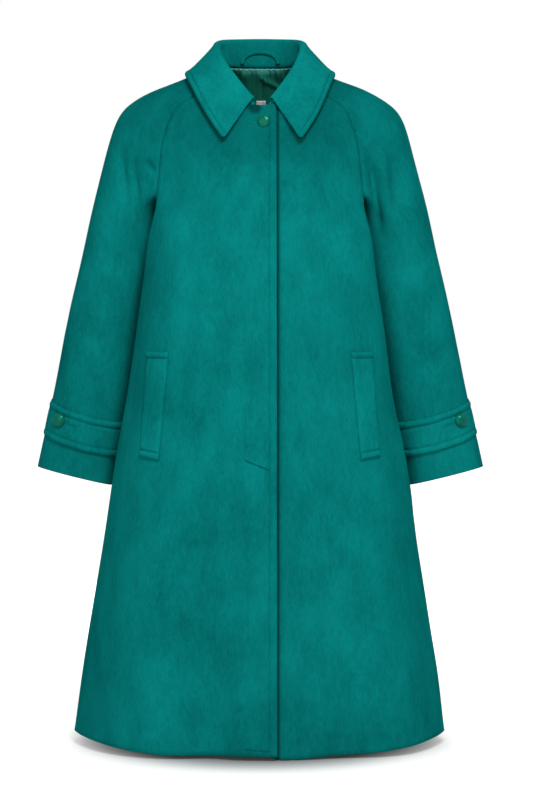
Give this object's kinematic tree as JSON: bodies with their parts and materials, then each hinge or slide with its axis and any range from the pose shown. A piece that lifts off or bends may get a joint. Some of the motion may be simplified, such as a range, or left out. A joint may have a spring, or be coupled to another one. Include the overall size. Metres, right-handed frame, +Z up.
{
  "type": "overcoat",
  "caption": "Long A-line wool overcoat with raglan sleeves, turned-down point collar, fly front, slanted welt pockets and buttoned cuff straps, standing filled out and hollow.",
  "frame": {"origin": "middle of the neck at the level of the shoulder seams' neck ends, where a hanger or figure carries the coat", "axes": "+Z up, the front faces -Y, +X toward the wearer's left"},
  "size_m": [0.7396, 0.4394, 1.1661],
  "materials": {
    "wool": "brushed wool coating with a short nap, teal green",
    "satin": "smooth dark green lining satin",
    "button_gloss": "polished green, domed with a rim",
    "label_weave": "bare white woven tape"
  },
  "bodies": {
    "root": {"front_right": "wool", "front_left": "wool", "back": "wool", "sleeve_right_front": "wool", "sleeve_right_back": "wool", "sleeve_left_front": "wool", "sleeve_left_back": "wool", "collar": "wool", "pocket_welt_right": "wool", "pocket_welt_left": "wool", "cuff_strap_right": "wool", "cuff_strap_left": "wool", "hanger_loop": "wool", "button_neck": "button_gloss", "button_cuff_right": "button_gloss", "button_cuff_left": "button_gloss", "lining_back": "satin", "label": "label_weave"}
  },
  "joints": []
}
